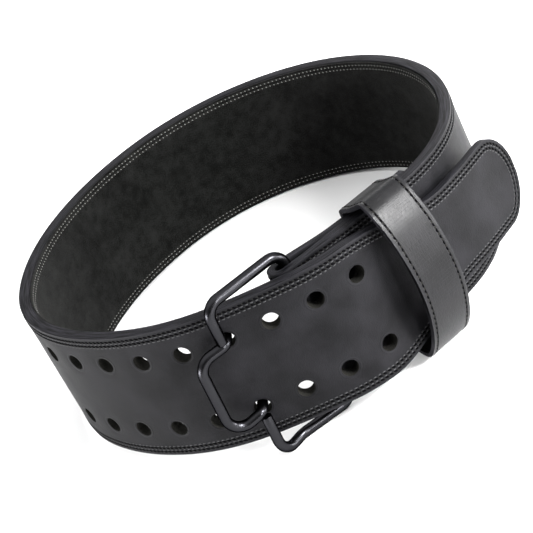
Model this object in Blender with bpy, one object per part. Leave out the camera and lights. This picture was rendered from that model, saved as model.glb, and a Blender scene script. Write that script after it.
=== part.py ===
# A weightlifting belt, fastened. One long leather strap runs from its tongue through the buckle, round the waist and
# back under the tongue, where its end folds round the buckle's rear bar and lies against the inside of the loop.
# A suede lining backs it, a wire buckle with two fixed prongs closes it and a leather keeper holds the tongue.
# In the belt's own frame +Z runs up the strap's width, -Y faces the buckle and the loop is centred on Z.

import math

import bmesh
import bpy
from mathutils import Vector

mm = 0.001

# The strap. The girth is the outer face's length from the prong holes round to the fold.
belt_width = 100 * mm
girth = 1000 * mm
strap_thickness = 8.0 * mm
end_thickness = 5.3 * mm
edge_chamfer = 1.2 * mm
piece_gap = 0.3 * mm
station_spacing = 8 * mm

# The prong holes lie here on the outer face, and the strap leaves them towards the left at this heading.
prong_hole_place = Vector((-46.0 * mm, -168.6 * mm))
prong_hole_heading = math.radians(169)

# The outer face in plan, from the prong holes: share of the girth, turn towards the loop's inside in degrees.
loop_arcs = [
    (0.06, 25),
    (0.08, 26),
    (0.08, 34),
    (0.10, 28),
    (0.10, 28),
    (0.10, 39),
    (0.10, 37),
    (0.10, 32),
    (0.10, 32),
    (0.08, 40),
    (0.06, 9),
    (0.04, 2),
]
tongue_arcs = [
    (0.055, 7),
    (0.050, 32),
    (0.050, 1),
    (0.060, 12),
    (0.038, -3),
]
tongue_length = sum(share for share, turn in tongue_arcs) * girth

# The tongue narrows inside the keeper and ends in a half ellipse.
tongue_width = 66 * mm
narrowing_starts = 85 * mm
narrowing_ends = 180 * mm
thinning_starts = 108 * mm
thinning_ends = 150 * mm
tip_length = 24 * mm

# The far end thins before the fold, wraps the rear bar and lies against the strap's inside.
end_thinning_starts = 0.955 * girth
fold_lead = 3 * mm
fold_back_ends = 0.892 * girth
fold_swell = 40 * mm

# The suede lining.
lining_thickness = 1.2 * mm
lining_inset = 1.2 * mm
lining_edge_chamfer = 0.3 * mm
lining_far_end = 0.888 * girth

# The punched holes, in two rows.
hole_diameter = 11.8 * mm
hole_pitch = 30.8 * mm
hole_rows_apart = 55.3 * mm
hole_rows_lift = 0.5 * mm
holes_left = 6
holes_right = 3
hole_sides = 14
hole_cutter_overrun = 2 * mm

# On the tongue the lining ends just past the last holes.
lining_past_holes = 15.6 * mm
lining_tongue_end = holes_right * hole_pitch + lining_past_holes

# The buckle: one closed loop of wire with a pin at each prong.
wire_diameter = 6.4 * mm
frame_room = 23 * mm
frame_height = belt_width + frame_room
frame_corner_radius = 9 * mm
front_bar_stand_off = 8.9 * mm
prong_dip = 4.4 * mm
prong_bend_radius = 5 * mm
loop_reach = 20 * mm
loop_heading = math.radians(180)
arm_knee_back = 14.5 * mm
arm_knee_out = 11.5 * mm
arm_knee_radius = 24 * mm
pin_diameter = 7.6 * mm
pin_depth = 6.5 * mm
pin_seat = 1 * mm
wire_sides = 12
arc_steps = 5

# The keeper: a loose leather band round the whole stack.
keeper_centre_share = 0.9292
keeper_heading = math.radians(24)
keeper_band_width = 33.5 * mm
keeper_thickness = 3 * mm
keeper_depth = 53.8 * mm
keeper_room = 24 * mm
keeper_height = belt_width + keeper_room
keeper_lift = 1.5 * mm
keeper_seat_gap = 0.6 * mm

# The keeper's outer outline: share of its depth from the back, share of its height from the bottom.
keeper_outline = [
    (0.000, 0.090),
    (0.000, 0.300),
    (0.000, 0.700),
    (0.000, 0.885),
    (0.028, 0.924),
    (0.100, 0.938),
    (0.230, 0.952),
    (0.400, 0.980),
    (0.530, 1.000),
    (0.630, 0.972),
    (0.740, 0.910),
    (0.890, 0.778),
    (0.985, 0.600),
    (0.995, 0.450),
    (0.930, 0.302),
    (0.795, 0.153),
    (0.630, 0.045),
    (0.480, 0.000),
    (0.250, 0.018),
    (0.100, 0.034),
    (0.028, 0.049),
]
keeper_samples = 4


def clear_scene():
    for obj in list(bpy.data.objects):
        bpy.data.objects.remove(obj, do_unlink=True)


def direction(heading):
    return Vector((math.cos(heading), math.sin(heading)))


def inward(heading):
    # The loop's inside lies to the right of someone who walks from the tongue round to the fold.
    return direction(heading - math.pi / 2)


def smooth_step(value, start, end):
    share = min(max((value - start) / (end - start), 0), 1)
    return share * share * (3 - 2 * share)


def follow_arcs(place, heading, arcs, side, distance):
    for share, turn in arcs:
        length = share * girth
        walked = min(distance, length)
        bend = side * math.radians(turn) * walked / length
        half = bend / 2
        chord = walked * (math.sin(half) / half if abs(half) > 1e-9 else 1)
        place = place + chord * direction(heading + half)
        heading += bend
        distance -= walked
        if distance <= 0:
            break
    return place, heading


def outer_face(distance):
    # Distance runs from the prong holes, positive round the loop and negative along the tongue.
    if distance >= 0:
        return follow_arcs(prong_hole_place, prong_hole_heading, loop_arcs, -1, distance)
    place, heading = follow_arcs(prong_hole_place, prong_hole_heading - math.pi, tongue_arcs, 1, -distance)
    return place, heading + math.pi


def half_width_at(distance):
    narrowing = smooth_step(-distance, narrowing_starts, narrowing_ends)
    half = (belt_width + (tongue_width - belt_width) * narrowing) / 2
    from_tip = (tongue_length + distance) / tip_length
    if from_tip < 1:
        half *= math.sqrt(max(1 - (1 - from_tip) ** 2, 0))
    return half


def thickness_at(distance):
    tongue_share = smooth_step(-distance, thinning_starts, thinning_ends)
    end_share = smooth_step(distance, end_thinning_starts, girth)
    return strap_thickness + (end_thickness - strap_thickness) * max(tongue_share, end_share)


def spread(start, end, spacing):
    count = max(1, math.ceil(abs(end - start) / spacing))
    return [start + (end - start) * index / count for index in range(count + 1)]


def principled(name, colour, roughness, metallic=0.0):
    material = bpy.data.materials.new(name)
    material.use_nodes = True
    shader = material.node_tree.nodes["Principled BSDF"]
    shader.inputs["Base Color"].default_value = (*colour, 1)
    shader.inputs["Roughness"].default_value = roughness
    shader.inputs["Metallic"].default_value = metallic
    return material


def add_object(name, mesh_builder, material, sharp_angle):
    mesh = bpy.data.meshes.new(name)
    mesh_builder.to_mesh(mesh)
    mesh_builder.free()
    mesh.shade_smooth()
    mesh.set_sharp_from_angle(angle=math.radians(sharp_angle))
    mesh.materials.append(material)
    obj = bpy.data.objects.new(name, mesh)
    bpy.context.scene.collection.objects.link(obj)
    return obj


def add_rings(builder, rings, closed=False):
    # Skins a row of equal rings of points, and caps the ends of an open one.
    loops = [[builder.verts.new(point) for point in ring] for ring in rings]
    pairs = list(zip(loops, loops[1:]))
    if closed:
        pairs.append((loops[-1], loops[0]))
    for first, second in pairs:
        for index in range(len(first)):
            following = (index + 1) % len(first)
            builder.faces.new((first[index], first[following], second[following], second[index]))
    if not closed:
        builder.faces.new(loops[0])
        builder.faces.new(loops[-1])
    bmesh.ops.recalc_face_normals(builder, faces=builder.faces)


def headings_of(places):
    headings = []
    for index in range(len(places)):
        before = places[max(index - 1, 0)]
        after = places[min(index + 1, len(places) - 1)]
        step = after - before
        headings.append(math.atan2(step.y, step.x))
    return headings


def band_ring(place, heading, near, far, half, chamfer):
    # A bevelled strap section between two depths under the outer face.
    chamfer = min(chamfer, 0.3 * half, 0.3 * (far - near))
    corners = [
        (near, chamfer - half),
        (near, half - chamfer),
        (near + chamfer, half),
        (far - chamfer, half),
        (far, half - chamfer),
        (far, chamfer - half),
        (far - chamfer, -half),
        (near + chamfer, -half),
    ]
    into = inward(heading)
    return [(place.x + into.x * depth, place.y + into.y * depth, height) for depth, height in corners]


def strap_stations():
    # Each station is a place on the outer face, the half width and the thickness.
    stations = []
    for degrees in range(10, 90, 10):
        distance = tip_length * (1 - math.cos(math.radians(degrees))) - tongue_length
        stations.append((outer_face(distance)[0], half_width_at(distance), thickness_at(distance)))
    for distance in spread(tip_length - tongue_length, girth, station_spacing):
        stations.append((outer_face(distance)[0], half_width_at(distance), thickness_at(distance)))

    fold_place, fold_heading = outer_face(girth)
    fold_place = fold_place + fold_lead * direction(fold_heading)
    stations.append((fold_place, belt_width / 2, end_thickness))
    radius = fold_radius()
    centre = fold_place + radius * inward(fold_heading)
    for degrees in range(15, 180, 15):
        spoke = -inward(fold_heading - math.radians(degrees))
        stations.append((centre + radius * spoke, belt_width / 2, end_thickness))

    for distance in spread(girth, fold_back_ends, station_spacing):
        place, heading = outer_face(distance)
        lying = strap_thickness + piece_gap + end_thickness
        swelling = 1 - smooth_step(girth - distance, 0, fold_swell)
        depth = lying + (2 * radius - lying) * swelling
        stations.append((place + depth * inward(heading), belt_width / 2, end_thickness))
    return stations


def fold_radius():
    return wire_diameter / 2 + piece_gap + end_thickness


def rear_bar_place():
    place, heading = outer_face(girth)
    return place + fold_lead * direction(heading) + fold_radius() * inward(heading)


def hole_distances():
    return [index * hole_pitch for index in range(-holes_right, holes_left + 1)]


def hole_heights():
    return [hole_rows_lift + side * hole_rows_apart / 2 for side in (-1, 1)]


def make_hole_cutter():
    builder = bmesh.new()
    reach = strap_thickness + piece_gap + lining_thickness + hole_cutter_overrun
    for distance in hole_distances():
        place, heading = outer_face(distance)
        into = inward(heading)
        for height in hole_heights():
            ends = [place - hole_cutter_overrun * into, place + reach * into]
            add_tube(builder, [Vector((end.x, end.y, height)) for end in ends], [hole_diameter / 2] * 2, hole_sides)
    cutter = add_object("hole_cutter", builder, principled("cutter", (0.5, 0.5, 0.5), 0.5), 30)
    cutter.hide_render = True
    cutter.display_type = "WIRE"
    return cutter


def cut(obj, cutter, operation="DIFFERENCE"):
    modifier = obj.modifiers.new(operation.lower(), "BOOLEAN")
    modifier.operation = operation
    modifier.solver = "EXACT"
    modifier.object = cutter


def make_strap(material, cutter):
    stations = strap_stations()
    headings = headings_of([place for place, half, thickness in stations])
    rings = [
        band_ring(place, heading, 0, thickness, half, edge_chamfer)
        for (place, half, thickness), heading in zip(stations, headings)
    ]
    builder = bmesh.new()
    add_rings(builder, rings)
    strap = add_object("strap", builder, material, 30)
    cut(strap, cutter)
    return strap


def make_lining(material, cutter):
    near = strap_thickness + piece_gap
    rings = []
    for distance in spread(-lining_tongue_end, lining_far_end, station_spacing):
        place, heading = outer_face(distance)
        half = half_width_at(distance) - lining_inset
        rings.append(band_ring(place, heading, near, near + lining_thickness, half, lining_edge_chamfer))
    builder = bmesh.new()
    add_rings(builder, rings)
    lining = add_object("lining", builder, material, 30)
    cut(lining, cutter)
    return lining


def add_tube(builder, points, radii, sides, closed=False, face=None):
    # Round rings along a path. The face vector keeps the rings from twisting where the path bends.
    rings = []
    for index, point in enumerate(points):
        if closed:
            along = points[(index + 1) % len(points)] - points[index - 1]
        else:
            along = points[min(index + 1, len(points) - 1)] - points[max(index - 1, 0)]
        along.normalize()
        guide = face if face is not None else Vector((0, 0, 1))
        across = (guide - guide.dot(along) * along).normalized()
        other = along.cross(across)
        ring = []
        for side in range(sides):
            angle = 2 * math.pi * side / sides
            ring.append(point + radii[index] * (math.cos(angle) * across + math.sin(angle) * other))
        rings.append(ring)
    add_rings(builder, rings, closed)


def rounded_path(corners):
    # Turns a closed row of (point, radius) corners into points with an arc at each corner.
    path = []
    for index, (corner, radius) in enumerate(corners):
        before = (corners[index - 1][0] - corner).normalized()
        after = (corners[(index + 1) % len(corners)][0] - corner).normalized()
        opening = before.angle(after)
        setback = radius / math.tan(opening / 2)
        middle = corner + (before + after).normalized() * radius / math.sin(opening / 2)
        start = corner + before * setback - middle
        end = corner + after * setback - middle
        sweep = start.angle(end)
        for step in range(arc_steps + 1):
            share = step / arc_steps
            blend = math.sin((1 - share) * sweep) * start + math.sin(share * sweep) * end
            path.append(middle + blend / math.sin(sweep))
    return path


def upright(place, height):
    return Vector((place.x, place.y, height))


def frame_corners():
    into = inward(prong_hole_heading)
    front = prong_hole_place - front_bar_stand_off * into
    prong = prong_hole_place - (front_bar_stand_off - prong_dip) * into
    rear = rear_bar_place()
    knee = front + arm_knee_back * (rear - front).normalized() + arm_knee_out * into
    reach = front + loop_reach * direction(loop_heading)
    top = frame_height / 2
    low_row, high_row = hole_heights()
    corner, bend = frame_corner_radius, prong_bend_radius
    return [
        (upright(rear, -top), corner),
        (upright(rear, top), corner),
        (upright(knee, top), arm_knee_radius),
        (upright(front, top), corner),
        (upright(prong, high_row), bend),
        (upright(reach, high_row), corner),
        (upright(reach, low_row), corner),
        (upright(prong, low_row), bend),
        (upright(front, -top), corner),
        (upright(knee, -top), arm_knee_radius),
    ]


def make_buckle(material):
    face = -inward(prong_hole_heading)
    builder = bmesh.new()
    path = rounded_path(frame_corners())
    add_tube(
        builder,
        path,
        [wire_diameter / 2] * len(path),
        wire_sides,
        closed=True,
        face=Vector((face.x, face.y, 0)),
    )
    buckle = add_object("buckle", builder, material, 50)

    into = inward(prong_hole_heading)
    builder = bmesh.new()
    for height in hole_heights():
        root = prong_hole_place - (front_bar_stand_off - prong_dip - pin_seat) * into
        depths = [0, 0.88, 1]
        length = (prong_hole_place + pin_depth * into - root).length
        points = [upright(root + share * length * into, height) for share in depths]
        radius = pin_diameter / 2
        add_tube(builder, points, [radius, radius, 0.6 * radius], wire_sides)
    pins = add_object("prong_pins", builder, material, 50)
    pins.hide_render = True
    pins.display_type = "WIRE"
    cut(buckle, pins, "UNION")
    return buckle


def closed_spline(points, samples):
    # A Catmull-Rom curve through a closed row of points.
    curve = []
    count = len(points)
    for index in range(count):
        p0, p1, p2, p3 = (points[(index + shift) % count] for shift in (-1, 0, 1, 2))
        for sample in range(samples):
            t = sample / samples
            curve.append(
                0.5 * (2 * p1 + (p2 - p0) * t + (2 * p0 - 5 * p1 + 4 * p2 - p3) * t**2
                       + (3 * p1 - p0 - 3 * p2 + p3) * t**3)
            )
    return curve


def make_keeper(material):
    place, heading = outer_face(keeper_centre_share * girth)
    along = direction(keeper_heading)
    outward = direction(keeper_heading - math.pi / 2)
    seat = strap_thickness + piece_gap + end_thickness + keeper_seat_gap
    back = place - outward * (seat + keeper_thickness)
    bottom = keeper_lift - keeper_height / 2
    outline = [Vector((deep * keeper_depth, high * keeper_height + bottom)) for deep, high in keeper_outline]
    outer = closed_spline(outline, keeper_samples)
    rings = []
    for index, point in enumerate(outer):
        tangent = (outer[(index + 1) % len(outer)] - outer[index - 1]).normalized()
        inside = point + keeper_thickness * Vector((tangent.y, -tangent.x))
        ring = []
        for section, side in ((point, -1), (point, 1), (inside, 1), (inside, -1)):
            spot = back + section.x * outward + side * keeper_band_width / 2 * along
            ring.append((spot.x, spot.y, section.y))
        rings.append(ring)
    builder = bmesh.new()
    add_rings(builder, rings, closed=True)
    return add_object("keeper", builder, material, 30)


def resting_tilt(front, back):
    # The tip about X that brings the lowest points of the buckle and of the strap level.
    def lowest(obj, angle):
        return min(
            vertex.co.z * math.cos(angle) - vertex.co.y * math.sin(angle) for vertex in obj.data.vertices
        )

    low, high = 0.0, math.radians(10)
    for attempt in range(40):
        angle = (low + high) / 2
        if lowest(front, angle) < lowest(back, angle):
            low = angle
        else:
            high = angle
    return angle


def stand_up(pieces, helpers, tilt):
    # Tips the belt as it rests, and puts the middle of its footprint on the origin.
    stand = bpy.data.objects.new("stand", None)
    bpy.context.scene.collection.objects.link(stand)
    stand.rotation_euler = (-tilt, 0, 0)
    for obj in pieces + helpers:
        obj.parent = stand
    bpy.context.view_layer.update()
    corners = [piece.matrix_world @ vertex.co for piece in pieces for vertex in piece.data.vertices]
    lows = [min(corner[axis] for corner in corners) for axis in range(3)]
    highs = [max(corner[axis] for corner in corners) for axis in range(3)]
    stand.location = (-(lows[0] + highs[0]) / 2, -(lows[1] + highs[1]) / 2, -lows[2])
    bpy.context.view_layer.update()
    print("stand at", [round(value, 5) for value in stand.location], "tipped", round(math.degrees(tilt), 3))


def main():
    clear_scene()
    leather = principled("black_leather", (0.045, 0.045, 0.05), 0.5)
    keeper_leather = principled("keeper_leather", (0.055, 0.055, 0.06), 0.45)
    suede = principled("black_suede", (0.02, 0.02, 0.019), 0.95)
    enamel = principled("black_enamelled_steel", (0.012, 0.012, 0.014), 0.3)
    cutter = make_hole_cutter()
    strap = make_strap(leather, cutter)
    lining = make_lining(suede, cutter)
    buckle = make_buckle(enamel)
    keeper = make_keeper(keeper_leather)
    helpers = [cutter, bpy.data.objects["prong_pins"]]
    stand_up([strap, lining, buckle, keeper], helpers, resting_tilt(buckle, strap))


main()
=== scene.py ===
# A weightlifting belt: its leather, suede, wire and thread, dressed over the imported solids.
# The strap is made flat, bent along the belt's path and then stood on its edge, as the solids are.

import math

import bpy
from mathutils import Matrix, Vector

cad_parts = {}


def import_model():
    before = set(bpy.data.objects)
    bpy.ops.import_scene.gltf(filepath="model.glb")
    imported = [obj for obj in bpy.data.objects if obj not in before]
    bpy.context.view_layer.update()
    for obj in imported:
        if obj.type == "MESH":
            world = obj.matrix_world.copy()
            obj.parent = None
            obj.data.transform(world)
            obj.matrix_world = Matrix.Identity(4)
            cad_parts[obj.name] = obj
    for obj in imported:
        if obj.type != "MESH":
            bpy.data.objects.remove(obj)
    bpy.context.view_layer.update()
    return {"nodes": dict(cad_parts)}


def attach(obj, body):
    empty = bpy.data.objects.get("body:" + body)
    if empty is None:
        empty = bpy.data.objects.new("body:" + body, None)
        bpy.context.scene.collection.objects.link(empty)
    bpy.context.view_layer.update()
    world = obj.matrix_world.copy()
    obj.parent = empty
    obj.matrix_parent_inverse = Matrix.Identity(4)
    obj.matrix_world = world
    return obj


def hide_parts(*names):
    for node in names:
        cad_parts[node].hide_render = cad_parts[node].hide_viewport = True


mm = 0.001
smoothUnder = math.radians(50)
sharpOver = math.radians(60)


# The belt's path in plan: its outer face, walked from the tongue's tip round to the folded end.

belt = {
    "width": 100 * mm,
    "girth": 1000 * mm,
    "thickness": 8.0 * mm,
    "endThickness": 5.3 * mm,
    "gap": 0.3 * mm,
    "prongHolePlace": Vector((-46.0 * mm, -168.6 * mm)),
    "prongHoleHeading": math.radians(169),
    # share of the girth, turn towards the inside in degrees
    "loopArcs": [
        (0.06, 25), (0.08, 26), (0.08, 34), (0.10, 28), (0.10, 28), (0.10, 39),
        (0.10, 37), (0.10, 32), (0.10, 32), (0.08, 40), (0.06, 9), (0.04, 2),
    ],
    "tongueArcs": [(0.055, 7), (0.050, 32), (0.050, 1), (0.060, 12), (0.038, -3)],
    "foldLead": 3 * mm,
    "foldRadius": 8.8 * mm,
    "foldBackEnds": 0.892,
    "foldSwell": 40 * mm,
    "leanBack": math.radians(2.591),
    "standPlace": Vector((-0.00523, 0.00532, 0.05753)),
}
tongueLength = sum(share for share, turn in belt["tongueArcs"]) * belt["girth"]


def direction(heading):
    return Vector((math.cos(heading), math.sin(heading)))


def inward(heading):
    return direction(heading - math.pi / 2)


def smoothStep(value, start, end):
    share = min(max((value - start) / (end - start), 0), 1)
    return share * share * (3 - 2 * share)


def followArcs(place, heading, arcs, side, distance):
    for share, turn in arcs:
        length = share * belt["girth"]
        walked = min(distance, length)
        bend = side * math.radians(turn) * walked / length
        half = bend / 2
        chord = walked * (math.sin(half) / half if abs(half) > 1e-9 else 1)
        place = place + chord * direction(heading + half)
        heading += bend
        distance -= walked
        if distance <= 0:
            break
    return place, heading


def outerFace(distance):
    # distance from the prong holes: round the loop, or below zero along the tongue
    place, heading = belt["prongHolePlace"], belt["prongHoleHeading"]
    if distance >= 0:
        return followArcs(place, heading, belt["loopArcs"], -1, distance)
    place, heading = followArcs(place, heading - math.pi, belt["tongueArcs"], 1, -distance)
    return place, heading + math.pi


def beltPathPoints():
    step = 2 * mm
    count = round((tongueLength + belt["girth"]) / step)
    points = [outerFace(index * step - tongueLength)[0] for index in range(count + 1)]
    place, heading = outerFace(belt["girth"])
    place = place + belt["foldLead"] * direction(heading)
    centre = place + belt["foldRadius"] * inward(heading)
    for degrees in range(0, 180, 6):
        points.append(centre - belt["foldRadius"] * inward(heading - math.radians(degrees)))
    lying = belt["thickness"] + belt["gap"] + belt["endThickness"]
    reach = (1 - belt["foldBackEnds"]) * belt["girth"]
    for index in range(round(reach / step) + 1):
        place, heading = outerFace(belt["girth"] - index * step)
        swelling = 1 - smoothStep(index * step, 0, belt["foldSwell"])
        depth = lying + (2 * belt["foldRadius"] - lying) * swelling
        points.append(place + depth * inward(heading))
    return [Vector((point.x, point.y, 0)) for point in points]


def lengthOf(points):
    return sum((second - first).length for first, second in zip(points, points[1:]))


def addPath(name, points, closed=False):
    curve = bpy.data.curves.new(name, "CURVE")
    curve.dimensions = "3D"
    curve.twist_mode = "Z_UP"
    spline = curve.splines.new("POLY")
    spline.points.add(len(points) - 1)
    for target, point in zip(spline.points, points):
        target.co = (*point, 1)
    spline.use_cyclic_u = closed
    path = bpy.data.objects.new(name, curve)
    bpy.context.scene.collection.objects.link(path)
    return path


# Small helpers for modelling with operators

def onlySelect(obj):
    if bpy.context.object and bpy.context.object.mode == "EDIT":
        bpy.ops.object.mode_set(mode="OBJECT")
    bpy.ops.object.select_all(action="DESELECT")
    obj.select_set(True)
    bpy.context.view_layer.objects.active = obj


def finishModifiers(obj):
    onlySelect(obj)
    for modifier in list(obj.modifiers):
        bpy.ops.object.modifier_apply(modifier=modifier.name)


def bendAlong(obj, path):
    addModifier(obj, "CURVE", object=path, deform_axis="POS_X")
    finishModifiers(obj)


def addModifier(obj, kind, **settings):
    modifier = obj.modifiers.new(kind.lower(), kind)
    for name, value in settings.items():
        setattr(modifier, name, value)


def standMatrix():
    return Matrix.Translation(belt["standPlace"]) @ Matrix.Rotation(-belt["leanBack"], 4, "X")


def clothe(obj, materials):
    # before the modifiers, which only use the slots they find
    for material in materials:
        obj.data.materials.append(material)


def dress(obj, replaced=None):
    # stands the finished piece on the floor with the rest, and hands it to the frame
    obj.data.transform(standMatrix())
    if replaced:
        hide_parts(replaced)
    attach(obj, "root")


# Material maths: a socket that takes Python arithmetic, and a sheet that adds nodes

class Signal:
    def __init__(self, sheet, socket):
        self.sheet = sheet
        self.socket = socket

    def combine(self, operation, other):
        return self.sheet.add("ShaderNodeMath", {"operation": operation}, {0: self, 1: other})

    def __add__(self, other):
        return self.combine("ADD", other)

    __radd__ = __add__

    def __sub__(self, other):
        return self.combine("SUBTRACT", other)

    def __mul__(self, other):
        return self.combine("MULTIPLY", other)

    __rmul__ = __mul__


# the black of the painted shade in grooves
shadeBlack = (0.0012, 0.0012, 0.0012, 1)


class Sheet:
    def __init__(self, name, **fixed):
        self.material = bpy.data.materials.new(name)
        self.material.use_nodes = True
        self.tree = self.material.node_tree
        self.shader = self.tree.nodes["Principled BSDF"]
        for socket, value in fixed.items():
            self.shader.inputs[socket.replace("_", " ")].default_value = value

    def add(self, kind, settings=None, inputs=None, output=0):
        node = self.tree.nodes.new(kind)
        for name, value in (settings or {}).items():
            setattr(node, name, value)
        for key, value in (inputs or {}).items():
            self.feed(node.inputs[key], value)
        return Signal(self, node.outputs[output])

    def feed(self, socket, value):
        if isinstance(value, Signal):
            self.tree.links.new(value.socket, socket)
        else:
            socket.default_value = value

    def set(self, socket, value):
        self.feed(self.shader.inputs[socket], value)

    def place(self):
        return self.add("ShaderNodeTexCoord", output="Object")

    def flat(self):
        return self.add("ShaderNodeUVMap", {"uv_map": "flat"})

    def attribute(self, name):
        return self.add("ShaderNodeAttribute", {"attribute_name": name}, output="Fac")

    def noise(self, vector, size, detail=3.0, roughness=0.5):
        # size is the width of one blotch
        return self.add(
            "ShaderNodeTexNoise", {},
            {"Vector": vector, "Scale": 1 / size, "Detail": detail, "Roughness": roughness},
        )

    def cells(self, vector, size):
        return self.add("ShaderNodeTexVoronoi", {}, {"Vector": vector, "Scale": 1 / size})

    def ramp(self, value, low, high):
        return self.add(
            "ShaderNodeMapRange", {"interpolation_type": "SMOOTHSTEP"},
            {"Value": value, "From Min": low, "From Max": high},
        )

    def mixColour(self, factor, first, second):
        # each colour is a plain triple or a signal
        pair = [(*tone, 1) if isinstance(tone, tuple) else tone for tone in (first, second)]
        return self.add(
            "ShaderNodeMix", {"data_type": "RGBA"}, {0: factor, 6: pair[0], 7: pair[1]}, output=2,
        )

    def paintShade(self, factor):
        # painted shade: lets a matt black show where factor is one, as in the shade of a groove or
        # a needle hole
        black = self.add("ShaderNodeBsdfDiffuse", {}, {"Color": shadeBlack})
        shaded = Signal(self, self.shader.outputs["BSDF"])
        blend = self.add("ShaderNodeMixShader", {}, {0: factor, 1: shaded, 2: black})
        self.feed(self.tree.nodes["Material Output"].inputs["Surface"], blend)

    def roughen(self, pattern, least, rise):
        self.set("Roughness", least + pattern * rise)

    def bump(self, height, depth):
        self.set("Normal", self.add("ShaderNodeBump", {}, {"Height": height, "Distance": depth}))

    def band(self, value, centre, width):
        # one where value is at centre, falling to nothing a width away
        away = self.add("ShaderNodeMath", {"operation": "ABSOLUTE"}, {0: value - centre})
        return self.ramp(away, width, 0)


def scaled(colour, factor):
    return tuple(channel * factor for channel in colour)


leather = {
    "dark": (0.0042, 0.0042, 0.0048),
    "light": (0.0115, 0.0113, 0.013),
    "blotch": 30 * mm,
    "grain": 0.6 * mm,
    "pore": 1.08 * mm,
    "relief": 0.14 * mm,
    "seams": (2.9 * mm, 6.1 * mm),
    "seamWidth": 1.0 * mm,
    # how far painted shade blackens the seam grooves
    "seamShade": 0.25,
    # the outline is worn from here outwards, fully at the second distance
    "worn": (1.6 * mm, 0.3 * mm),
    "wornLift": 1.8,
    "lipPlace": 1.3 * mm,
    "lipWidth": 0.9 * mm,
}


def leatherMaterial(name, hide, seams):
    sheet = Sheet(name, Specular_IOR_Level=hide["shine"])
    flat = sheet.flat()
    blotches = sheet.noise(flat, leather["blotch"], 4, 0.55)
    fine = sheet.noise(flat, leather["grain"], 2, 0.6)
    pores = sheet.cells(flat, leather["pore"])
    gap = sheet.attribute("edgeGap")
    grooves = [sheet.band(gap, seam, leather["seamWidth"]) for seam in seams]
    groove = sum(grooves[1:], grooves[0])
    worn = sheet.ramp(gap, *leather["worn"])
    lip = sheet.band(sheet.attribute("holeGap"), leather["lipPlace"], leather["lipWidth"])
    tone = sheet.ramp(blotches + (fine - 0.5) * 0.35, 0.3, 0.75)
    dark, light = (scaled(leather[shade], hide["lift"]) for shade in ("dark", "light"))
    colour = sheet.mixColour(tone, dark, light)
    colour = sheet.mixColour(worn * 0.4, colour, scaled(light, leather["wornLift"]))
    sheet.set("Base Color", colour)
    least, most = hide["rough"]
    sheet.set("Roughness", least + (most - least) * tone - worn * 0.06 - lip * 0.05)
    relief = fine * 0.7 + pores * 0.5 + blotches * 0.5 + lip * 1.1 - groove * 2.2
    sheet.bump(relief, leather["relief"])
    # painted shade in the seam grooves
    sheet.paintShade(groove * leather["seamShade"])
    return sheet.material


rimLook = {
    "dark": (0.001, 0.001, 0.0012),
    "light": (0.022, 0.0215, 0.026),
    "shine": 0.035,
    "streaksAlong": 45,
    "streaksDeep": 1300,
    "rough": (0.40, 0.2),
    "grain": 0.7 * mm,
    "relief": 0.15 * mm,
}


def edgeMaterial(name):
    # the painted rim, with faint streaks of the layers along it
    sheet = Sheet(name, Specular_IOR_Level=rimLook["shine"])
    place = sheet.add("ShaderNodeCombineXYZ", {}, {
        "X": sheet.attribute("along") * rimLook["streaksAlong"],
        "Y": sheet.attribute("deep") * rimLook["streaksDeep"],
    })
    streaks = sheet.noise(place, 1, 3, 0.6)
    fine = sheet.noise(sheet.place(), rimLook["grain"], 2)
    tone = sheet.ramp(streaks, 0.35, 0.7)
    sheet.set("Base Color", sheet.mixColour(tone, rimLook["dark"], rimLook["light"]))
    sheet.roughen(streaks, *rimLook["rough"])
    sheet.bump(streaks * 1.5 + fine * 0.4, rimLook["relief"])
    return sheet.material


burnishedLook = {
    "dark": (0.003, 0.003, 0.004),
    "light": (0.014, 0.0135, 0.018),
    "shine": 0.3,
    "blotch": 2.5 * mm,
    "rough": (0.32, 0.14),
    "relief": 0.1 * mm,
}


def burnishedMaterial(name):
    # the rounded arrises, rubbed to a soft shine
    look = burnishedLook
    sheet = Sheet(name, Specular_IOR_Level=look["shine"])
    rubbed = sheet.noise(sheet.place(), look["blotch"], 3)
    sheet.set("Base Color", sheet.mixColour(rubbed, look["dark"], look["light"]))
    sheet.roughen(rubbed, *look["rough"])
    sheet.bump(rubbed, look["relief"])
    return sheet.material


holeLook = {
    "dark": (0.0015, 0.0015, 0.0014),
    "light": (0.028, 0.0275, 0.025),
    "fibre": 0.8 * mm,
    "relief": 0.3 * mm,
}


def holeMaterial(name):
    # the walls of the punched holes: raw fibre, near black with no shine; the same near black, on
    # a lens sunk at each stitch, is painted shadow in the needle holes
    sheet = Sheet(name, Roughness=0.95, Specular_IOR_Level=0.0)
    fibre = sheet.noise(sheet.place(), holeLook["fibre"], 3)
    sheet.set("Base Color", sheet.mixColour(fibre, holeLook["dark"], holeLook["light"]))
    sheet.bump(fibre, holeLook["relief"])
    return sheet.material


suedeLook = {
    "dark": (0.0011, 0.0012, 0.0011),
    "light": (0.0100, 0.0103, 0.0098),
    "sheenTint": (0.6, 0.6, 0.58, 1),
    "brushed": 30 * mm,
    "clouds": 8 * mm,
    "nap": 0.8 * mm,
    "seams": (2.4 * mm, 5.2 * mm),
    "seamWidth": 1.2 * mm,
    # how far painted shade blackens the seam grooves
    "seamShade": 0.7,
    "relief": 0.35 * mm,
}


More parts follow.
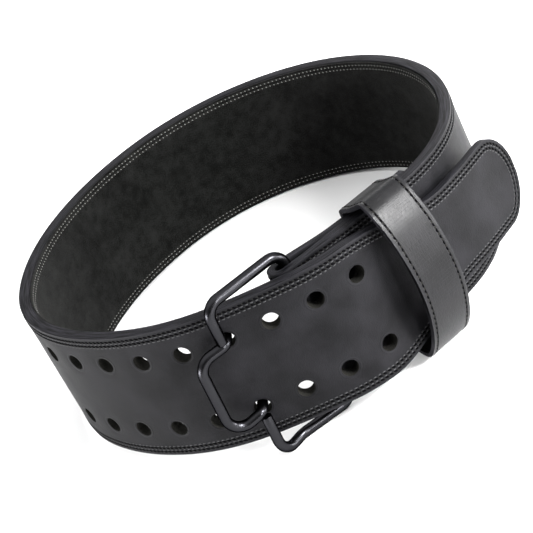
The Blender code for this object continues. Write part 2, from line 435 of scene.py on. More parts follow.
def suedeMaterial(name):
    look = suedeLook
    sheet = Sheet(
        name, Roughness=1.0, Specular_IOR_Level=0.05, Sheen_Weight=0.06, Sheen_Roughness=0.5,
        Sheen_Tint=look["sheenTint"],
    )
    flat = sheet.flat()
    brushed = sheet.noise(flat, look["brushed"], 5, 0.6)
    clouds = sheet.noise(flat, look["clouds"], 3, 0.6)
    nap = sheet.noise(flat, look["nap"], 4, 0.75)
    gap = sheet.attribute("edgeGap")
    near, far = (sheet.band(gap, seam, look["seamWidth"]) for seam in look["seams"])
    groove = near + far
    tone = sheet.ramp(brushed * 0.5 + clouds * 0.5 + (nap - 0.5) * 1.5, 0.36, 0.68)
    sheet.set("Base Color", sheet.mixColour(tone, look["dark"], look["light"]))
    sheet.bump(nap + clouds * 0.8 - groove * 2.0, look["relief"])
    # painted shade in the seam grooves
    sheet.paintShade(groove * look["seamShade"])
    return sheet.material


threadLook = {
    "strand": 0.35 * mm,
    "relief": 0.08 * mm,
    # dark tone, light tone, shine
    # the swelling beside each stitch: leather made lighter than the strap, a painted highlight
    "swellingHighlight": ((0.012, 0.012, 0.0128), (0.042, 0.042, 0.0445), 0.3),
    "blackThread": ((0.0006, 0.0006, 0.0007), (0.004, 0.004, 0.0044), 0.005),
    "greyThread": ((0.09, 0.09, 0.087), (0.23, 0.23, 0.22), 0.2),
}


def threadMaterial(name):
    dark, light, shine = threadLook[name]
    sheet = Sheet(name, Roughness=0.5, Specular_IOR_Level=shine)
    strands = sheet.noise(sheet.place(), threadLook["strand"], 2)
    sheet.set("Base Color", sheet.mixColour(strands, dark, light))
    sheet.bump(strands, threadLook["relief"])
    return sheet.material


enamelLook = {
    "dark": (0.021, 0.021, 0.023),
    "light": (0.029, 0.029, 0.032),
    "tint": (0.1, 0.1, 0.1, 1),
    "drift": 9 * mm,
    "peel": 0.9 * mm,
    "rough": (0.22, 0.08),
    "relief": 0.02 * mm,
}


def enamelMaterial(name):
    look = enamelLook
    sheet = Sheet(name, Metallic=1.0, Specular_Tint=look["tint"])
    drift = sheet.noise(sheet.place(), look["drift"], 3)
    peel = sheet.noise(sheet.place(), look["peel"], 2)
    sheet.set("Base Color", sheet.mixColour(drift, look["dark"], look["light"]))
    sheet.roughen(drift, *look["rough"])
    sheet.bump(peel, look["relief"])
    return sheet.material


# The strap and its lining, flat: x runs along the path, -y into the belt, z across the width

strap = {
    "tongueWidth": 66 * mm,
    "narrowingStarts": 85 * mm,
    "narrowingEnds": 180 * mm,
    "thinningStarts": 108 * mm,
    "thinningEnds": 150 * mm,
    "endThinningStarts": 0.955,
    "tipLength": 24 * mm,
    # the first column at the tip, and how closely the next ones follow
    "tipFirst": 0.006,
    "tipCrowding": 1.6,
    # the tip counts as curved up to here, and its outline is walked in steps of 1 mm
    "tipZone": 60 * mm,
    "outlineSteps": 80,
    "leastHalf": 0.2 * mm,
    "thickness": belt["thickness"],
    "depth": 0,
    "inset": 0,
    "edgeRound": 2.0 * mm,
    "hide": {"rough": (0.42, 0.54), "shine": 0.082, "lift": 1.0},
}
lining = {
    "thickness": 1.2 * mm,
    "depth": belt["thickness"] + belt["gap"],
    "inset": 1.2 * mm,
    "tongueEnd": 108 * mm,
    "farEnd": 0.888,
    "edgeRound": 0.35 * mm,
}
holes = {
    "diameter": 11.8 * mm,
    "pitch": 30.8 * mm,
    "rowsApart": 55.3 * mm,
    "rowsLift": 0.5 * mm,
    "left": 6,
    "right": 3,
    "cellsAPitch": 12,
    "cellsToRing": 4,
    # of a cell: how far inside the ring the middle of a cut cell lies, and how far out a rim's
    # point may lie where the tongue narrows
    "cutSlack": 0.3,
    "rimSlack": 0.4,
    "rimShare": 0.4,
}
cell = holes["pitch"] / holes["cellsAPitch"]


def halfWidthAt(distance):
    narrowing = smoothStep(-distance, strap["narrowingStarts"], strap["narrowingEnds"])
    half = (belt["width"] + (strap["tongueWidth"] - belt["width"]) * narrowing) / 2
    fromTip = (tongueLength + distance) / strap["tipLength"]
    if fromTip < 1:
        half *= math.sqrt(max(1 - (1 - fromTip) ** 2, 0))
    return half


def thicknessAt(distance):
    tongueShare = smoothStep(-distance, strap["thinningStarts"], strap["thinningEnds"])
    girth = belt["girth"]
    endShare = smoothStep(distance, strap["endThinningStarts"] * girth, girth)
    thinning = belt["endThickness"] - belt["thickness"]
    return belt["thickness"] + thinning * max(tongueShare, endShare)


def holeHeights():
    return [holes["rowsLift"] + side * holes["rowsApart"] / 2 for side in (-1, 1)]


def rowHeights():
    # grid lines across the strap: even cells round each row of holes, and the rest spread between
    half = belt["width"] / 2
    reach = (holes["cellsToRing"] + 1) * cell
    marks = [-half]
    for height in holeHeights():
        marks += [height - reach, height + reach]
    marks.append(half)
    lines = []
    for low, high in zip(marks, marks[1:]):
        count = max(1, round((high - low) / cell))
        lines += [low + (high - low) * index / count for index in range(count)]
    return lines + [half]


def addFlatSheet(name, start, end, inset):
    # start and end are distances from the prong holes; columns keep in step with the holes
    firstColumn = math.floor(start / cell + 0.5)
    lastColumn = math.floor(end / cell + 0.5)
    columns = lastColumn - firstColumn
    rows = rowHeights()
    bpy.ops.object.select_all(action="DESELECT")
    bpy.ops.mesh.primitive_grid_add(x_subdivisions=columns, y_subdivisions=len(rows) - 1, size=1)
    sheet = bpy.context.object
    sheet.name = name
    tip = strap["tipLength"]
    for vertex in sheet.data.vertices:
        column = round((vertex.co.x + 0.5) * columns)
        row = round((vertex.co.y + 0.5) * (len(rows) - 1))
        distance = (firstColumn + column) * cell
        if column == columns:
            distance = end
        if start <= -tongueLength:
            # fine columns where the tip rounds
            share = (distance + tongueLength) / (2 * tip)
            if share < 1:
                share = max(share, 0)
                share = share ** strap["tipCrowding"] * (1 - strap["tipFirst"])
                distance = -tongueLength + 2 * tip * (strap["tipFirst"] + share)
        elif column == 0:
            distance = start
        half = halfWidthAt(distance)
        height = rows[row] * max(half, strap["leastHalf"]) / (belt["width"] / 2)
        if row in (0, len(rows) - 1):
            height *= 1 - inset / half
        vertex.co = (distance + tongueLength, 0, height)
    return sheet


def deleteChosenFaces(mesh):
    # the grid comes selected all over, so its points and edges are let go first
    for edge in mesh.edges:
        edge.select = False
    for vertex in mesh.vertices:
        vertex.select = False
    for polygon in mesh.polygons:
        if polygon.select:
            for index in polygon.vertices:
                mesh.vertices[index].select = True
    bpy.ops.object.mode_set(mode="EDIT")
    bpy.ops.mesh.select_mode(type="FACE")
    bpy.ops.mesh.delete(type="FACE")
    bpy.ops.object.mode_set(mode="OBJECT")


def punchHoles(sheet):
    # takes the cells out round each hole and draws their rim into a circle
    reach = (holes["cellsToRing"] - holes["cutSlack"]) * cell
    centres = [
        (index * holes["pitch"] + tongueLength, height)
        for index in range(-holes["right"], holes["left"] + 1)
        for height in holeHeights()
    ]
    onlySelect(sheet)
    for polygon in sheet.data.polygons:
        middle = polygon.center
        polygon.select = any(
            max(abs(middle.x - x), abs(middle.z - z)) < reach for x, z in centres
        )
    deleteChosenFaces(sheet.data)
    radius = holes["diameter"] / 2
    for vertex in sheet.data.vertices:
        for x, z in centres:
            across = (vertex.co.x - x) / cell
            up = (vertex.co.z - z) / cell
            ring = max(abs(across), abs(up))
            if ring < holes["cellsToRing"] + holes["rimSlack"]:
                # the eight steps of each side of the square become eight steps of the circle
                if abs(across) >= abs(up):
                    angle = (0 if across > 0 else math.pi) + up / across * math.pi / 4
                else:
                    angle = (math.pi / 2 if up > 0 else -math.pi / 2) - across / up * math.pi / 4
                vertex.co = (x + radius * math.cos(angle), 0, z + radius * math.sin(angle))
    return centres


def note(mesh, name, values, domain="POINT"):
    mesh.attributes.new(name, "FLOAT", domain).data.foreach_set("value", values)


def flatLayer(mesh):
    layer = mesh.uv_layers.active or mesh.uv_layers.new(name="flat")
    layer.name = "flat"
    return layer


def outlineGap(place, inset, outline):
    # how far a flat place lies inside the outline, which curves near the tip
    distance = place.x - tongueLength
    if distance < -tongueLength + strap["tipZone"]:
        return min(math.hypot(distance - x, abs(place.z) - z) for x, z in outline)
    return max(halfWidthAt(distance) - inset - abs(place.z), 0)


def flatNotes(sheet, inset, centres):
    # the flat place as a UV map, and the distance to the outline, before anything is bent
    mesh, radius = sheet.data, holes["diameter"] / 2
    steps = [index * mm - tongueLength for index in range(strap["outlineSteps"])]
    outline = [(distance, halfWidthAt(distance) - inset) for distance in steps]
    places = [vertex.co.copy() for vertex in mesh.vertices]
    note(mesh, "edgeGap", [outlineGap(place, inset, outline) for place in places])
    note(mesh, "holeGap", [
        min(math.hypot(place.x - x, place.z - z) for x, z in centres) - radius for place in places
    ])
    layer = flatLayer(mesh)
    for loop in mesh.loops:
        place = places[loop.vertex_index]
        layer.data[loop.index].uv = (place.x, place.z)


def besideHole(place, centres):
    reach = holes["diameter"] / 2 + cell / 4
    return any(math.hypot(place.x - x, place.z - z) < reach for x, z in centres)


def weighArrises(obj, centres):
    # sharp edges take the bevel, those round the holes a smaller one
    normals = {}
    for polygon in obj.data.polygons:
        for key in polygon.edge_keys:
            normals.setdefault(key, []).append(polygon.normal)
    weights = []
    for edge in obj.data.edges:
        pair = normals[edge.key]
        weight = 1 if len(pair) == 2 and pair[0].angle(pair[1]) > sharpOver else 0
        if weight:
            first, second = (obj.data.vertices[index].co for index in edge.vertices)
            if besideHole((first + second) / 2, centres):
                weight = holes["rimShare"]
        weights.append(weight)
    note(obj.data, "bevel_weight_edge", weights, "EDGE")


def noteDepth(obj):
    # where a point lies along the belt and through its thickness, for the streaks of the rim
    for name, axis in (("along", 0), ("deep", 1)):
        note(obj.data, name, [vertex.co[axis] for vertex in obj.data.vertices])


def thicken(sheet, layer, centres, factorAt):
    # materials: 0 the faces, 1 the rim, 2 the walls of the holes, 3 the rounded edges
    onlySelect(sheet)
    settings = {
        "thickness": layer["thickness"], "offset": -1, "use_rim": True, "material_offset_rim": 1,
    }
    if factorAt:
        group = sheet.vertex_groups.new(name="thin")
        for vertex in sheet.data.vertices:
            group.add([vertex.index], factorAt(vertex.co.x - tongueLength), "REPLACE")
        settings["vertex_group"] = "thin"
    addModifier(sheet, "SOLIDIFY", **settings)
    finishModifiers(sheet)
    for polygon in sheet.data.polygons:
        if polygon.material_index == 1 and besideHole(polygon.center, centres):
            polygon.material_index = 2
    weighArrises(sheet, centres)
    noteDepth(sheet)
    addModifier(
        sheet, "BEVEL", width=layer["edgeRound"], segments=3, limit_method="WEIGHT", material=3,
    )
    finishModifiers(sheet)


def facingOut(sheet):
    # the sheet's face should look along +y, away from the loop's inside
    if sheet.data.polygons[0].normal.y < 0:
        sheet.data.flip_normals()


def makeLayer(name, start, end, layer, path, materials, factorAt=None):
    sheet = addFlatSheet(name, start, end, layer["inset"])
    clothe(sheet, materials)
    centres = punchHoles(sheet)
    facingOut(sheet)
    flatNotes(sheet, layer["inset"], centres)
    sheet.data.transform(Matrix.Translation((0, -layer["depth"], 0)))
    thicken(sheet, layer, centres, factorAt)
    bendAlong(sheet, path)
    bpy.ops.object.shade_smooth_by_angle(angle=smoothUnder)
    return sheet


def makeStrap(path, materials):
    end = lengthOf(beltPathPoints()) - tongueLength
    sheet = makeLayer(
        "strapLeather", -tongueLength, end, strap, path, materials,
        lambda distance: thicknessAt(distance) / belt["thickness"],
    )
    dress(sheet, "strap")


def makeLining(path, materials):
    start, end = -lining["tongueEnd"], lining["farEnd"] * belt["girth"]
    sheet = makeLayer("suedeLining", start, end, lining, path, materials)
    dress(sheet, "lining")


# Stitches: one is modelled, repeated along its seam and bent with the belt

stitches = {
    "pitch": 3.5 * mm,
    "length": 4.0 * mm,
    "width": 1.65 * mm,
    "height": 1.1 * mm,
    "slant": math.radians(24),
    "sunk": 0.1 * mm,
    # how much of its height the thread drops towards its ends
    "dip": 0.45,
    # the needle hole: a dark lens, painted shadow
    "shadowPit": (0.9 * mm, 0.9 * mm),
    "pitDeep": 0.12 * mm,
    "bump": (2.4 * mm, 1.0 * mm, 1.1 * mm),
    "bumpAlong": 0.75,
    "bumpSunk": 0.12 * mm,
    "bumpAside": 1.45 * mm,
    "tipGap": 1 * mm,
    "endGap": 2 * mm,
}
innerStitches = dict(
    stitches, pitch=3.7 * mm, length=1.9 * mm, width=1.0 * mm, height=0.8 * mm, sunk=0.12 * mm,
    slant=math.radians(-40), shadowPit=(2.5 * mm, 1.8 * mm), bump=None, inwards=0.7 * mm,
    endGap=3 * mm,
)


def seamPoints(gap, first, last):
    # the seams along the lower and the upper edge, as flat places
    step = 1 * mm
    lower, upper = [], []
    for index in range(round((last - first) / step) + 1):
        distance = first + index * step
        half = halfWidthAt(distance) - gap
        lower.append((distance, -half))
        upper.append((distance, half))
    return lower, upper


def tipSeam(gap):
    # an even offset inside the tongue's outline, sampled on the tip's half ellipse
    half = strap["tongueWidth"] / 2
    tip = strap["tipLength"]
    points = []
    for degrees in range(-90, 91, 3):
        angle = math.radians(degrees)
        outline = Vector((-tip * math.cos(angle), half * math.sin(angle)))
        normal = Vector((-math.cos(angle) / tip, math.sin(angle) / half)).normalized()
        inside = outline - gap * normal
        points.append((-tongueLength + tip + inside.x, inside.y))
    return points


def addLens(size, place, segments=8, rings=5):
    # a small ellipsoid; x along the seam, y out of the leather, z across
    bpy.ops.object.select_all(action="DESELECT")
    bpy.ops.mesh.primitive_uv_sphere_add(segments=segments, ring_count=rings, radius=0.5)
    ball = bpy.context.object
    for vertex in ball.data.vertices:
        spot = (vertex.co.z, vertex.co.y, vertex.co.x)
        vertex.co = [spot[axis] * size[axis] + place[axis] for axis in range(3)]
    return ball


def slanted(place, angle, shift=0):
    # turned within the face of the leather, then moved along the seam
    x, y, z = place
    across = x * math.sin(angle) + z * math.cos(angle)
    return x * math.cos(angle) - z * math.sin(angle) + shift, y, across


def addStitch(settings, materials):
    # thread, needle hole with its painted shadow, and the leather that swells beside it, lighter
    # as a painted highlight, in that order of materials
    middle = settings["pitch"] / 2
    length, height, slant = settings["length"], settings["height"], settings["slant"]
    thread = addLens((length, height, settings["width"]), (0, 0, 0), 8, 8)
    for vertex in thread.data.vertices:
        x, y, z = vertex.co
        y -= (2 * x / length) ** 2 * height * settings["dip"]
        vertex.co = slanted((x, y - settings["sunk"], z), slant, middle)
    # a dark lens where the needle went in, painted shadow
    shadowPit = addLens((settings["shadowPit"][0], settings["pitDeep"], settings["shadowPit"][1]), (0, 0, 0))
    for vertex in shadowPit.data.vertices:
        vertex.co = slanted(vertex.co, slant)
    parts = [shadowPit]
    # the swelling beside the stitch, coloured as a painted highlight
    if settings["bump"]:
        long, wide, high = settings["bump"]
        place = (middle * settings["bumpAlong"], -settings["bumpSunk"], -settings["bumpAside"])
        parts.append(addLens((long, high, wide), place))
    for index, part in enumerate(parts):
        for polygon in part.data.polygons:
            polygon.material_index = index + 1
    for part in [thread] + parts:
        clothe(part, materials)
    onlySelect(thread)
    for part in parts:
        part.select_set(True)
    bpy.ops.object.join()
    return thread


def repeatAlong(stitch, pitch, count, route):
    addModifier(
        stitch, "ARRAY", count=count, use_relative_offset=False, use_constant_offset=True,
        constant_offset_displace=(pitch, 0, 0),
    )
    finishModifiers(stitch)
    bendAlong(stitch, route)
    bpy.data.objects.remove(route)


def sewSeam(name, seam, path, depth, side, settings, materials):
    # seam is a row of flat places; depth and side say which face of the belt it is sewn on
    flatPoints = [Vector((x + tongueLength, z, 0)) for x, z in seam]
    stitch = addStitch(settings, materials)
    stitch.name = name
    # in the seam's own plane x runs along, y across the strap and z out of the leather
    stitch.data.transform(Matrix(((1, 0, 0, 0), (0, 0, 1, 0), (0, 1, 0, 0), (0, 0, 0, 1))))
    pitch = settings["pitch"]
    count = int(lengthOf(flatPoints) / pitch)
    repeatAlong(stitch, pitch, count, addPath(name + "Route", flatPoints))
    for vertex in stitch.data.vertices:
        x, across, out = vertex.co
        vertex.co = (x, side * out - depth, across)
    bendAlong(stitch, path)
    bpy.ops.object.shade_smooth()
    fixNormals(stitch)
    return stitch


def fixNormals(obj):
    onlySelect(obj)
    bpy.ops.object.mode_set(mode="EDIT")
    bpy.ops.mesh.select_all(action="SELECT")
    bpy.ops.mesh.normals_make_consistent(inside=False)
    bpy.ops.object.mode_set(mode="OBJECT")


def makeStitches(path, black, grey, shadowPit, swelling):
    first = -tongueLength + strap["tipLength"] + stitches["tipGap"]
    last = lengthOf(beltPathPoints()) - tongueLength - stitches["endGap"]
    # black thread, the needle holes' painted shadow, and the swelling's painted highlight
    outer = [black, shadowPit, swelling]
    for index, gap in enumerate(leather["seams"]):
        lower, upper = seamPoints(gap, first, last)
        seam = lower[::-1] + tipSeam(gap) + upper
        row = sewSeam(f"outerStitches{index + 1}", seam, path, 0, 1, stitches, outer)
        dress(row)
    face = lining["depth"] + lining["thickness"]
    inner = [grey, shadowPit]
    first = -lining["tongueEnd"] + innerStitches["endGap"]
    last = lining["farEnd"] * belt["girth"] - innerStitches["endGap"]
    for index, gap in enumerate(leather["seams"]):
        seams = seamPoints(gap + innerStitches["inwards"], first, last)
        for edge, seam in zip(("Lower", "Upper"), seams):
            name = f"innerStitches{edge}{index + 1}"
            row = sewSeam(name, seam, path, face, -1, innerStitches, inner)
            dress(row)


# The keeper: a closed band round the folded end and the tongue

keeper = {
    "centreShare": 0.9292,
    "heading": math.radians(24),
    "bandWidth": 33.5 * mm,
    "thickness": 3 * mm,
    "depth": 53.8 * mm,
    "height": 124 * mm,
    "lift": 1.5 * mm,
    "seatGap": 0.6 * mm,
    "edgeRound": 0.9 * mm,
    "seam": 3.0 * mm,
    "around": 168,
    "across": 12,
    "hide": {"rough": (0.30, 0.39), "shine": 0.18, "lift": 0.8},
    # share of the depth from the back, share of the height from the bottom
    "outline": [
        (0.000, 0.090), (0.000, 0.300), (0.000, 0.700), (0.000, 0.885), (0.028, 0.924),
        (0.100, 0.938), (0.230, 0.952), (0.400, 0.980), (0.530, 1.000), (0.630, 0.972),
        (0.740, 0.910), (0.890, 0.778), (0.985, 0.600), (0.995, 0.450), (0.930, 0.302),
        (0.795, 0.153), (0.630, 0.045), (0.480, 0.000), (0.250, 0.018), (0.100, 0.034),
        (0.028, 0.049),
    ],
}
keeperStitches = dict(
    stitches, pitch=4.6 * mm, length=3.7 * mm, width=1.4 * mm, slant=0,
    shadowPit=(1.6 * mm, 1.3 * mm), bump=None,
)


def keeperOutline():
    # a smooth closed curve through the outline's points
    lowest = keeper["lift"] - keeper["height"] / 2
    points = [
        Vector((deep * keeper["depth"], high * keeper["height"] + lowest))
        for deep, high in keeper["outline"]
    ]
    curve = []
    count = len(points)
    samples = keeper["around"] // count
    for index in range(count):
        p0, p1, p2, p3 = (points[(index + shift) % count] for shift in (-1, 0, 1, 2))
        for sample in range(samples):
            t = sample / samples
            curve.append(0.5 * (
                2 * p1 + (p2 - p0) * t + (2 * p0 - 5 * p1 + 4 * p2 - p3) * t ** 2
                + (3 * p1 - p0 - 3 * p2 + p3) * t ** 3
            ))
    return curve


def keeperMatrix():
    # x out of the belt's back, y along the band's width, z up
    place = outerFace(keeper["centreShare"] * belt["girth"])[0]
    along = direction(keeper["heading"])
    outward = direction(keeper["heading"] - math.pi / 2)
    seat = belt["thickness"] + belt["gap"] + belt["endThickness"] + keeper["seatGap"]
    back = place - outward * (seat + keeper["thickness"])
    return Matrix((
        (outward.x, along.x, 0, back.x),
        (outward.y, along.y, 0, back.y),
        (0, 0, 1, 0),
        (0, 0, 0, 1),
    ))


def subdivideAcross(band):
    # cuts the long edges that run across the band
    onlySelect(band)
    bpy.ops.object.mode_set(mode="EDIT")
    bpy.ops.mesh.select_all(action="SELECT")
    bpy.ops.mesh.select_mode(type="EDGE")
    bpy.ops.object.mode_set(mode="OBJECT")
    for edge in band.data.edges:
        first, second = (band.data.vertices[index].co for index in edge.vertices)
        edge.select = abs(first.y - second.y) > keeper["bandWidth"] / 2
    bpy.ops.object.mode_set(mode="EDIT")
    bpy.ops.mesh.subdivide(number_cuts=keeper["across"] - 1)
    bpy.ops.object.mode_set(mode="OBJECT")


def keeperNotes(mesh, outline):
    # the band unrolled as a UV map, and the distance to its edges
    count = len(outline)
    lengths = [0]
    for first, second in zip(outline, outline[1:] + outline[:1]):
        lengths.append(lengths[-1] + (second - first).length)

    def nearest(place):
        spot = Vector((place.x, place.z))
        return min(range(count), key=lambda index: (outline[index] - spot).length_squared)

    spots = [nearest(vertex.co) for vertex in mesh.vertices]
    layer = flatLayer(mesh)
    for polygon in mesh.polygons:
        indices = [spots[mesh.loops[loop].vertex_index] for loop in polygon.loop_indices]
        wraps = max(indices) - min(indices) > count / 2
        for loop, index in zip(polygon.loop_indices, indices):
            lap = lengths[count] if wraps and index < count / 2 else 0
            across = mesh.vertices[mesh.loops[loop].vertex_index].co.y
            layer.data[loop].uv = (lap + lengths[index], across)
    half = keeper["bandWidth"] / 2
    note(mesh, "edgeGap", [half - abs(vertex.co.y) for vertex in mesh.vertices])


def makeKeeper(materials):
    outline = keeperOutline()
    count = len(outline)
    bpy.ops.object.select_all(action="DESELECT")
    bpy.ops.mesh.primitive_cylinder_add(
        vertices=count, radius=1, depth=keeper["bandWidth"], end_fill_type="NOTHING",
    )
    band = bpy.context.object
    band.name = "keeperBand"
    clothe(band, materials)
    for vertex in band.data.vertices:
        turn = math.atan2(vertex.co.x, vertex.co.y) / (2 * math.pi)
        point = outline[round(turn * count) % count]
        vertex.co = (point.x, vertex.co.z, point.y)
    subdivideAcross(band)
    keeperNotes(band.data, outline)
    fixNormals(band)
    addModifier(
        band, "SOLIDIFY", thickness=keeper["thickness"], offset=-1, use_rim=True,
        material_offset_rim=1, use_even_offset=True,
    )
    finishModifiers(band)
    noteDepth(band)
    addModifier(
        band, "BEVEL", width=keeper["edgeRound"], segments=3, limit_method="ANGLE",
        angle_limit=sharpOver, material=2,
    )
    finishModifiers(band)
    bpy.ops.object.shade_smooth_by_angle(angle=smoothUnder)
    band.data.transform(keeperMatrix())
    dress(band, "keeper")


def makeKeeperStitches(black, shadowPit):
    outline = [Vector((point.x, point.y, 0)) for point in keeperOutline()]
    total = lengthOf(outline + outline[:1])
    count = round(total / keeperStitches["pitch"])
    # whole stitches all the way round
    settings = dict(keeperStitches, pitch=total / count)
    for name, side in (("Left", -1), ("Right", 1)):
        route = addPath("keeperRoute", outline, closed=True)
        stitch = addStitch(settings, [black, shadowPit])
        stitch.name = "keeperStitches" + name
        # along x, out of the leather on y, across the band on z
        repeatAlong(stitch, settings["pitch"], count, route)
        edge = side * (keeper["bandWidth"] / 2 - keeper["seam"])
        for vertex in stitch.data.vertices:
            x, y, z = vertex.co
            vertex.co = (x, z + edge, y)
        bpy.ops.object.shade_smooth()
        stitch.data.transform(keeperMatrix())
        fixNormals(stitch)
        dress(stitch)


# The buckle: a frame of wire whose two front ends are soldered to a second wire. That one is bent
# into a hook at each end, which dips into a prong hole.

buckle = {
    "wire": 7.4 * mm,
    "top": 59.2 * mm,
    "bottom": 61.0 * mm,
    "rearLead": -1.5 * mm,
    "corner": 10 * mm,
    "hookCorner": 11.5 * mm,
    "standOff": 8.9 * mm,
    "hookStandOff": 5.6 * mm,
    "hookBend": 5.2 * mm,
    "seatStandOff": 6.6 * mm,
    # how far each end of the frame lands to the left of its prong hole and above it
    "seatHigh": (1.5 * mm, 2.5 * mm),
    "seatLow": (-0.5 * mm, -3.5 * mm),
    # how far the hook's corners reach to the left of the holes and above them
    "hookHigh": (20.8 * mm, -2.0 * mm),
    "hookLow": (23.0 * mm, -4.5 * mm),
    "heading": math.radians(180),
    "kneeBack": 16 * mm,
    "kneeOut": 6 * mm,
    "kneeRadius": 24 * mm,
    "prongDepth": 6.5 * mm,
    "arcSteps": 10,
    "roundSteps": 7,
    "weldGap": 0.01 * mm,
    "tipRound": 0.9 * mm,
}


def upright(place, height):
    return Vector((place.x, place.y, height))


def overHole(standOff, aside=0):
    # a place in plan, so far out from the prong holes and so far to the left of them
    place = belt["prongHolePlace"] - standOff * inward(belt["prongHoleHeading"])
    return place + aside * direction(buckle["heading"])


def frameCorners():
    front = overHole(buckle["standOff"])
    place, heading = outerFace(belt["girth"])
    rear = place + buckle["rearLead"] * direction(heading) + belt["foldRadius"] * inward(heading)
    knee = front + buckle["kneeBack"] * (rear - front).normalized()
    knee = knee + buckle["kneeOut"] * inward(belt["prongHoleHeading"])
    low, high = holeHeights()
    top, bottom, corner = buckle["top"], -buckle["bottom"], buckle["corner"]
    highAside, highLift = buckle["seatHigh"]
    lowAside, lowLift = buckle["seatLow"]
    return [
        (upright(overHole(buckle["seatStandOff"], highAside), high + highLift), 0),
        (upright(front, top), corner),
        (upright(rear, top), corner),
        (upright(rear, bottom), corner),
        (upright(knee, bottom), buckle["kneeRadius"]),
        (upright(front, bottom), corner),
        (upright(overHole(buckle["seatStandOff"], lowAside), low + lowLift), 0),
    ]


def hookCorners():
    tip, bend = overHole(-buckle["prongDepth"]), overHole(buckle["hookStandOff"])
    low, high = holeHeights()
    turn, corner = buckle["hookBend"], buckle["hookCorner"]
    highAside, highLift = buckle["hookHigh"]
    lowAside, lowLift = buckle["hookLow"]
    return [
        (upright(tip, high), 0),
        (upright(bend, high), turn),
        (upright(overHole(buckle["standOff"], highAside), high + highLift), corner),
        (upright(overHole(buckle["standOff"], lowAside), low + lowLift), corner),
        (upright(bend, low), turn),
        (upright(tip, low), 0),
    ]


def roundedPath(corners):
    # straight runs joined by arcs; the first and the last corner are the wire's ends
    points = [corners[0][0]]
    for index in range(1, len(corners) - 1):
        corner, radius = corners[index]
        before = (corners[index - 1][0] - corner).normalized()
        after = (corners[index + 1][0] - corner).normalized()
        opening = before.angle(after)
        setback = radius / math.tan(opening / 2)
        middle = corner + (before + after).normalized() * radius / math.sin(opening / 2)
        start = corner + before * setback - middle
        end = corner + after * setback - middle
        sweep = start.angle(end)
        for step in range(buckle["arcSteps"] + 1):
            share = step / buckle["arcSteps"]
            blended = math.sin((1 - share) * sweep) * start + math.sin(share * sweep) * end
            points.append(middle + blended / math.sin(sweep))
    return points + [corners[-1][0]]


def makeBuckle(enamel):
    wires = []
    for name, corners in (("buckleFrame", frameCorners()), ("buckleHook", hookCorners())):
        route = addPath(name, roundedPath(corners))
        route.data.twist_mode = "MINIMUM"
        route.data.bevel_depth = buckle["wire"] / 2
        route.data.bevel_resolution = buckle["roundSteps"]
        route.data.use_fill_caps = True
        onlySelect(route)
        bpy.ops.object.convert(target="MESH")
        wire = bpy.context.object
        addModifier(wire, "WELD", merge_threshold=buckle["weldGap"])
        addModifier(
            wire, "BEVEL", width=buckle["tipRound"], segments=3, limit_method="ANGLE",
            angle_limit=sharpOver,
        )
        finishModifiers(wire)
        wires.append(wire)
    onlySelect(wires[0])
    wires[1].select_set(True)
    bpy.ops.object.join()
    fixNormals(wires[0])
    bpy.ops.object.shade_smooth_by_angle(angle=smoothUnder)
    clothe(wires[0], [enamel])
    dress(wires[0], "buckle")


# Floor, light and camera

studio = {
    "floorSize": 8.0,
    "floorTones": ((0.90, 0.90, 0.90), (0.93, 0.93, 0.93)),
    "floorMottle": 0.4,
    "skyAim": (0, 0.3, 0.95),
    "skyRange": (0.15, 0.8, 0.22, 1.8),
    # name, place, aim, size, watts
    "lamps": [
        ("keeperLight", (0.95, -0.80, 0.75), (0.09, -0.14, 0.07), (0.3, 0.4), 42),
        ("leftLight", (-1.35, -0.35, 0.17), (-0.1, -0.05, 0.07), (0.9, 0.26), 24),
        ("rightLight", (1.30, -0.45, 0.17), (0.1, -0.12, 0.07), (0.8, 0.26), 17),
        ("wireLight", (0.55, -1.05, 0.30), (-0.05, -0.17, 0.06), (0.08, 0.3), 7.5),
        ("rimLight", (0.75, 1.1, 0.62), (0.15, 0.0, 0.1), (0.5, 0.5), 12),
    ],
}
lens = {
    "focal": 1586.3,
    "image": 533,
    "sensor": 36,
    "nearest": 0.01,
    "elevation": math.radians(26.78),
    "roll": math.radians(27.5),
    "place": Vector((-0.0025, -1.0395, 0.5004)),
}


def addFloor():
    bpy.ops.object.select_all(action="DESELECT")
    bpy.ops.mesh.primitive_plane_add(size=studio["floorSize"])
    floor = bpy.context.object
    floor.name = "studioFloor"
    sheet = Sheet("paleFloor", Roughness=0.9, Specular_IOR_Level=0.1)
    mottle = sheet.noise(sheet.place(), studio["floorMottle"], 2)
    sheet.set("Base Color", sheet.mixColour(mottle, *studio["floorTones"]))
    floor.data.materials.append(sheet.material)


def addLamp(name, place, target, size, power):
    data = bpy.data.lights.new(name, "AREA")
    data.shape = "RECTANGLE"
    data.size, data.size_y = size
    data.energy = power
    lamp = bpy.data.objects.new(name, data)
    lamp.location = place
    lamp.rotation_euler = (Vector(target) - Vector(place)).to_track_quat("-Z", "Y").to_euler()
    bpy.context.scene.collection.objects.link(lamp)


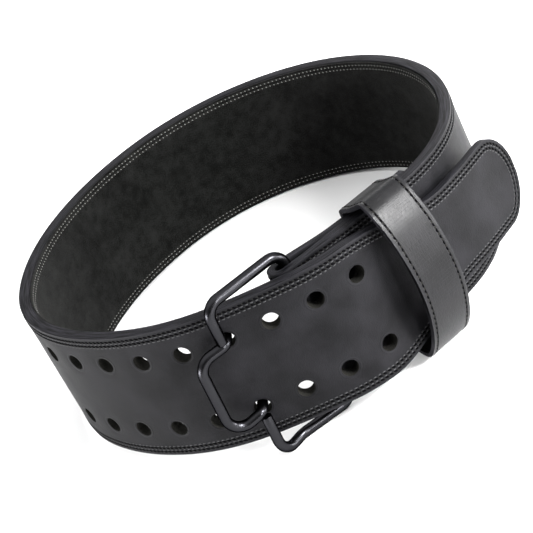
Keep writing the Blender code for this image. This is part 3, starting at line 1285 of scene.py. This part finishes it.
def addStudio():
    # a soft sky that is bright overhead and dim towards the horizon and the camera
    world = bpy.data.worlds.new("studioSky")
    world.use_nodes = True
    tree = world.node_tree
    place = tree.nodes.new("ShaderNodeTexCoord")
    aim = tree.nodes.new("ShaderNodeVectorMath")
    aim.operation = "DOT_PRODUCT"
    aim.inputs[1].default_value = studio["skyAim"]
    tree.links.new(place.outputs["Generated"], aim.inputs[0])
    strength = tree.nodes.new("ShaderNodeMapRange")
    strength.interpolation_type = "SMOOTHSTEP"
    for socket, value in zip(("From Min", "From Max", "To Min", "To Max"), studio["skyRange"]):
        strength.inputs[socket].default_value = value
    tree.links.new(aim.outputs["Value"], strength.inputs["Value"])
    background = tree.nodes["Background"]
    background.inputs["Color"].default_value = (1, 1, 1, 1)
    tree.links.new(strength.outputs["Result"], background.inputs["Strength"])
    bpy.context.scene.world = world
    for lamp in studio["lamps"]:
        addLamp(*lamp)
    bpy.context.scene.view_settings.view_transform = "Standard"


def addCamera():
    elevation, roll = lens["elevation"], lens["roll"]
    right = Vector((1, 0, 0))
    up = Vector((0, math.sin(elevation), math.cos(elevation)))
    forward = Vector((0, math.cos(elevation), -math.sin(elevation)))
    cameraRight = math.cos(roll) * right - math.sin(roll) * up
    cameraUp = math.sin(roll) * right + math.cos(roll) * up
    matrix = Matrix((cameraRight, cameraUp, -forward)).transposed().to_4x4()
    matrix.translation = lens["place"]
    data = bpy.data.cameras.new("photoCamera")
    data.sensor_width = lens["sensor"]
    data.lens = lens["focal"] / lens["image"] * data.sensor_width
    data.clip_start = lens["nearest"]
    camera = bpy.data.objects.new("photoCamera", data)
    bpy.context.scene.collection.objects.link(camera)
    camera.matrix_world = standMatrix() @ matrix
    bpy.context.scene.camera = camera


def main():
    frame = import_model()
    print("frame loaded,", len(frame["nodes"]), "nodes")
    strapLeather = leatherMaterial("strapLeather", strap["hide"], leather["seams"])
    keeperLeather = leatherMaterial("keeperLeather", keeper["hide"], (keeper["seam"],))
    # painted highlight on the leather that swells beside the stitches
    swelling = threadMaterial("swellingHighlight")
    holeWall = holeMaterial("punchedHole")
    # painted shadow for the needle holes
    shadowPit = holeMaterial("needleHoleShadow")
    rim = edgeMaterial("paintedRim")
    burnished = burnishedMaterial("burnishedEdge")
    suede = suedeMaterial("blackSuede")
    blackThread = threadMaterial("blackThread")
    greyThread = threadMaterial("greyThread")
    enamel = enamelMaterial("blackEnamel")
    path = addPath("beltPath", beltPathPoints())
    makeStrap(path, [strapLeather, rim, holeWall, burnished])
    print("strap made")
    makeLining(path, [suede, suede, holeWall, suede])
    print("lining made")
    makeKeeper([keeperLeather, rim, burnished])
    makeKeeperStitches(blackThread, shadowPit)
    print("keeper made")
    makeBuckle(enamel)
    print("buckle made")
    makeStitches(path, blackThread, greyThread, shadowPit, swelling)
    print("stitches made")
    bpy.data.objects.remove(path)
    addFloor()
    addStudio()
    addCamera()


main()
